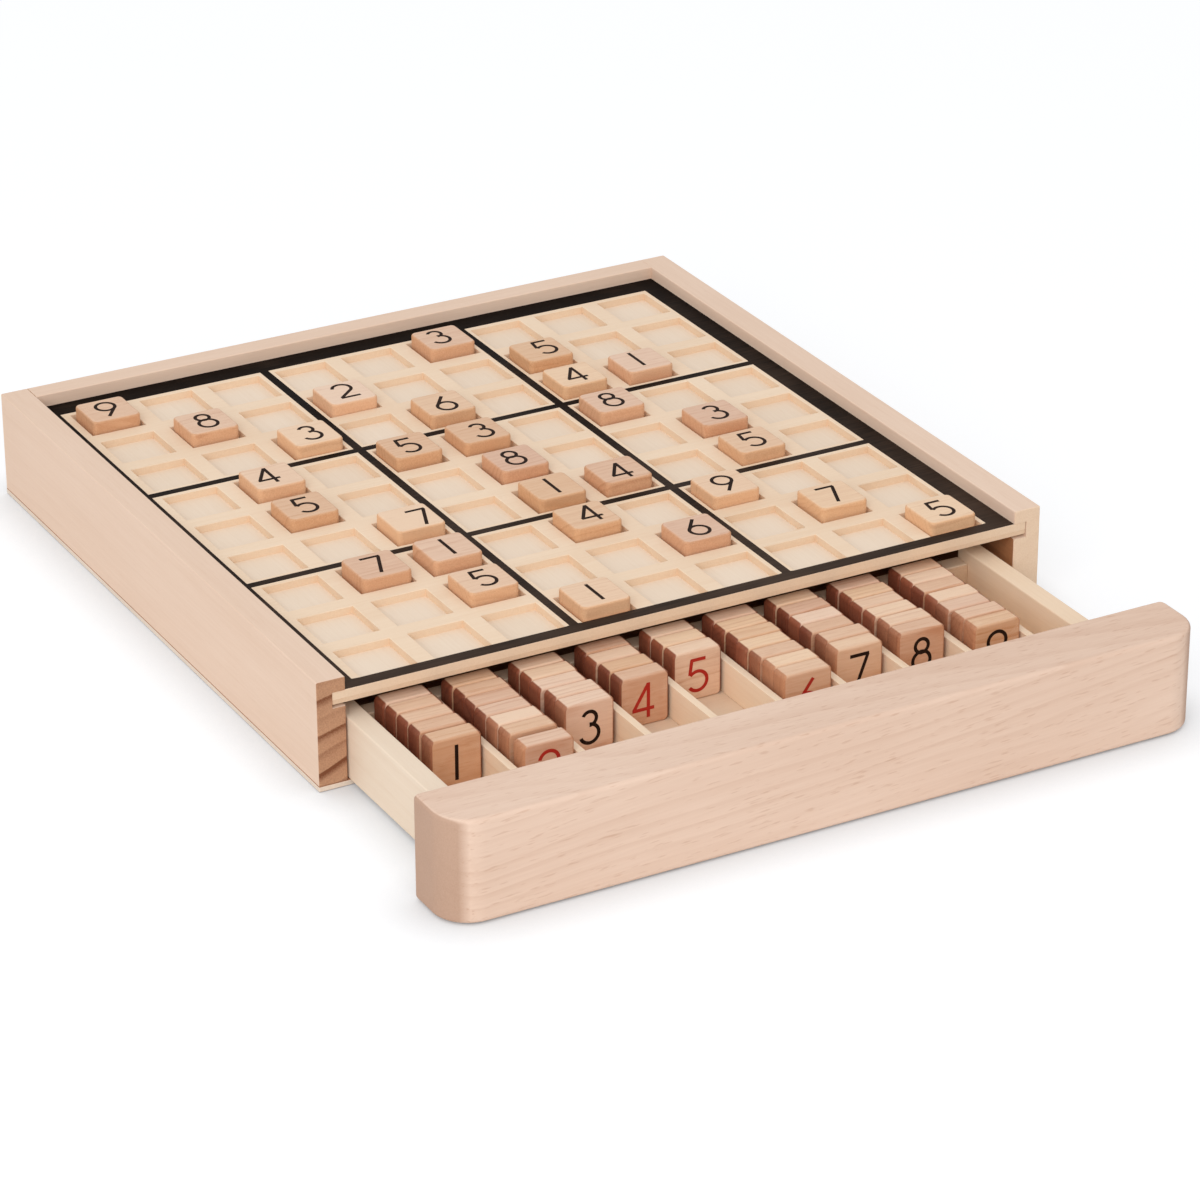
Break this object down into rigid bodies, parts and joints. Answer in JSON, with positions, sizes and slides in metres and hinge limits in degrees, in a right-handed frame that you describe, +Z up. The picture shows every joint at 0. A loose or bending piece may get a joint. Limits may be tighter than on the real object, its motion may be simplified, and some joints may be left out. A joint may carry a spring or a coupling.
{
  "type": "sudoku board",
  "caption": "Wooden sudoku box: recessed grid board for loose number tiles, raised rim on three sides, and a pull-out drawer with narrow bays where spare tiles stand on edge.",
  "frame": {"origin": "centre of the footprint of the rails, on the bottom face of the base plate", "axes": "+X to the right along the front, +Y to the back, +Z up; the drawer opens towards -Y"},
  "size_m": [0.2436, 0.3168, 0.0343],
  "materials": {
    "beech": "satin natural beech",
    "plywood": "matt pale plywood",
    "drawer_wood": "matt pale wood",
    "tile_wood": "satin natural beech"
  },
  "bodies": {
    "box": {"base_plate": "plywood", "left_rail": "beech", "right_rail": "beech", "back_rail": "beech", "board_backing": "plywood", "lattice_long_ribs": "plywood", "lattice_cross_ribs": "plywood"},
    "drawer": {"drawer_front": "beech", "drawer_left_side": "drawer_wood", "drawer_right_side": "drawer_wood", "drawer_back": "drawer_wood", "drawer_bottom": "drawer_wood", "divider_1": "drawer_wood", "divider_2": "drawer_wood", "divider_3": "drawer_wood", "divider_4": "drawer_wood", "divider_5": "drawer_wood", "divider_6": "drawer_wood", "divider_7": "drawer_wood", "divider_8": "drawer_wood", "divider_9": "drawer_wood"},
    "row_1": {"tile_row_1": "tile_wood"},
    "row_2": {"tile_row_2": "tile_wood"},
    "row_3": {"tile_row_3": "tile_wood"},
    "row_4": {"tile_row_4": "tile_wood"},
    "row_5": {"tile_row_5": "tile_wood"},
    "row_6": {"tile_row_6": "tile_wood"},
    "row_7": {"tile_row_7": "tile_wood"},
    "row_8": {"tile_row_8": "tile_wood"},
    "row_9": {"tile_row_9": "tile_wood"},
    "loose_r1_c1": {"tile_r1_c1": "tile_wood"},
    "loose_r1_c6": {"tile_r1_c6": "tile_wood"},
    "loose_r2_c2": {"tile_r2_c2": "tile_wood"},
    "loose_r2_c4": {"tile_r2_c4": "tile_wood"},
    "loose_r2_c7": {"tile_r2_c7": "tile_wood"},
    "loose_r3_c3": {"tile_r3_c3": "tile_wood"},
    "loose_r3_c5": {"tile_r3_c5": "tile_wood"},
    "loose_r3_c7": {"tile_r3_c7": "tile_wood"},
    "loose_r3_c8": {"tile_r3_c8": "tile_wood"},
    "loose_r4_c2": {"tile_r4_c2": "tile_wood"},
    "loose_r4_c4": {"tile_r4_c4": "tile_wood"},
    "loose_r4_c5": {"tile_r4_c5": "tile_wood"},
    "loose_r4_c7": {"tile_r4_c7": "tile_wood"},
    "loose_r5_c2": {"tile_r5_c2": "tile_wood"},
    "loose_r5_c5": {"tile_r5_c5": "tile_wood"},
    "loose_r5_c8": {"tile_r5_c8": "tile_wood"},
    "loose_r6_c3": {"tile_r6_c3": "tile_wood"},
    "loose_r6_c5": {"tile_r6_c5": "tile_wood"},
    "loose_r6_c6": {"tile_r6_c6": "tile_wood"},
    "loose_r6_c8": {"tile_r6_c8": "tile_wood"},
    "loose_r7_c2": {"tile_r7_c2": "tile_wood"},
    "loose_r7_c3": {"tile_r7_c3": "tile_wood"},
    "loose_r7_c5": {"tile_r7_c5": "tile_wood"},
    "loose_r7_c7": {"tile_r7_c7": "tile_wood"},
    "loose_r8_c3": {"tile_r8_c3": "tile_wood"},
    "loose_r8_c6": {"tile_r8_c6": "tile_wood"},
    "loose_r8_c8": {"tile_r8_c8": "tile_wood"},
    "loose_r9_c4": {"tile_r9_c4": "tile_wood"},
    "loose_r9_c9": {"tile_r9_c9": "tile_wood"}
  },
  "joints": [
    {"name": "drawer_slide", "type": "slide", "parent": "box", "child": "drawer", "axis": [0, -1, 0], "range_m": [-0.0658, 0.006]},
    {"name": "row_1_slide", "type": "slide", "parent": "drawer", "child": "row_1", "axis": [0, -1, 0], "range_m": [0, 0.0376]},
    {"name": "row_2_slide", "type": "slide", "parent": "drawer", "child": "row_2", "axis": [0, -1, 0], "range_m": [0, 0.0229]},
    {"name": "row_3_slide", "type": "slide", "parent": "drawer", "child": "row_3", "axis": [0, -1, 0], "range_m": [0, 0.0381]},
    {"name": "row_4_slide", "type": "slide", "parent": "drawer", "child": "row_4", "axis": [0, -1, 0], "range_m": [0, 0.0448]},
    {"name": "row_5_slide", "type": "slide", "parent": "drawer", "child": "row_5", "axis": [0, -1, 0], "range_m": [0, 0.0515]},
    {"name": "row_6_slide", "type": "slide", "parent": "drawer", "child": "row_6", "axis": [0, -1, 0], "range_m": [0, 0.0248]},
    {"name": "row_7_slide", "type": "slide", "parent": "drawer", "child": "row_7", "axis": [0, -1, 0], "range_m": [0, 0.0314]},
    {"name": "row_8_slide", "type": "slide", "parent": "drawer", "child": "row_8", "axis": [0, -1, 0], "range_m": [0, 0.0314]},
    {"name": "row_9_slide", "type": "slide", "parent": "drawer", "child": "row_9", "axis": [0, -1, 0], "range_m": [0, 0.0248]},
    {"name": "lift_r1_c1", "type": "slide", "parent": "box", "child": "loose_r1_c1", "axis": [0, 0, 1], "range_m": [0, 0.03]},
    {"name": "lift_r1_c6", "type": "slide", "parent": "box", "child": "loose_r1_c6", "axis": [0, 0, 1], "range_m": [0, 0.03]},
    {"name": "lift_r2_c2", "type": "slide", "parent": "box", "child": "loose_r2_c2", "axis": [0, 0, 1], "range_m": [0, 0.03]},
    {"name": "lift_r2_c4", "type": "slide", "parent": "box", "child": "loose_r2_c4", "axis": [0, 0, 1], "range_m": [0, 0.03]},
    {"name": "lift_r2_c7", "type": "slide", "parent": "box", "child": "loose_r2_c7", "axis": [0, 0, 1], "range_m": [0, 0.03]},
    {"name": "lift_r3_c3", "type": "slide", "parent": "box", "child": "loose_r3_c3", "axis": [0, 0, 1], "range_m": [0, 0.03]},
    {"name": "lift_r3_c5", "type": "slide", "parent": "box", "child": "loose_r3_c5", "axis": [0, 0, 1], "range_m": [0, 0.03]},
    {"name": "lift_r3_c7", "type": "slide", "parent": "box", "child": "loose_r3_c7", "axis": [0, 0, 1], "range_m": [0, 0.03]},
    {"name": "lift_r3_c8", "type": "slide", "parent": "box", "child": "loose_r3_c8", "axis": [0, 0, 1], "range_m": [0, 0.03]},
    {"name": "lift_r4_c2", "type": "slide", "parent": "box", "child": "loose_r4_c2", "axis": [0, 0, 1], "range_m": [0, 0.03]},
    {"name": "lift_r4_c4", "type": "slide", "parent": "box", "child": "loose_r4_c4", "axis": [0, 0, 1], "range_m": [0, 0.03]},
    {"name": "lift_r4_c5", "type": "slide", "parent": "box", "child": "loose_r4_c5", "axis": [0, 0, 1], "range_m": [0, 0.03]},
    {"name": "lift_r4_c7", "type": "slide", "parent": "box", "child": "loose_r4_c7", "axis": [0, 0, 1], "range_m": [0, 0.03]},
    {"name": "lift_r5_c2", "type": "slide", "parent": "box", "child": "loose_r5_c2", "axis": [0, 0, 1], "range_m": [0, 0.03]},
    {"name": "lift_r5_c5", "type": "slide", "parent": "box", "child": "loose_r5_c5", "axis": [0, 0, 1], "range_m": [0, 0.03]},
    {"name": "lift_r5_c8", "type": "slide", "parent": "box", "child": "loose_r5_c8", "axis": [0, 0, 1], "range_m": [0, 0.03]},
    {"name": "lift_r6_c3", "type": "slide", "parent": "box", "child": "loose_r6_c3", "axis": [0, 0, 1], "range_m": [0, 0.03]},
    {"name": "lift_r6_c5", "type": "slide", "parent": "box", "child": "loose_r6_c5", "axis": [0, 0, 1], "range_m": [0, 0.03]},
    {"name": "lift_r6_c6", "type": "slide", "parent": "box", "child": "loose_r6_c6", "axis": [0, 0, 1], "range_m": [0, 0.03]},
    {"name": "lift_r6_c8", "type": "slide", "parent": "box", "child": "loose_r6_c8", "axis": [0, 0, 1], "range_m": [0, 0.03]},
    {"name": "lift_r7_c2", "type": "slide", "parent": "box", "child": "loose_r7_c2", "axis": [0, 0, 1], "range_m": [0, 0.03]},
    {"name": "lift_r7_c3", "type": "slide", "parent": "box", "child": "loose_r7_c3", "axis": [0, 0, 1], "range_m": [0, 0.03]},
    {"name": "lift_r7_c5", "type": "slide", "parent": "box", "child": "loose_r7_c5", "axis": [0, 0, 1], "range_m": [0, 0.03]},
    {"name": "lift_r7_c7", "type": "slide", "parent": "box", "child": "loose_r7_c7", "axis": [0, 0, 1], "range_m": [0, 0.03]},
    {"name": "lift_r8_c3", "type": "slide", "parent": "box", "child": "loose_r8_c3", "axis": [0, 0, 1], "range_m": [0, 0.03]},
    {"name": "lift_r8_c6", "type": "slide", "parent": "box", "child": "loose_r8_c6", "axis": [0, 0, 1], "range_m": [0, 0.03]},
    {"name": "lift_r8_c8", "type": "slide", "parent": "box", "child": "loose_r8_c8", "axis": [0, 0, 1], "range_m": [0, 0.03]},
    {"name": "lift_r9_c4", "type": "slide", "parent": "box", "child": "loose_r9_c4", "axis": [0, 0, 1], "range_m": [0, 0.03]},
    {"name": "lift_r9_c9", "type": "slide", "parent": "box", "child": "loose_r9_c9", "axis": [0, 0, 1], "range_m": [0, 0.03]}
  ]
}
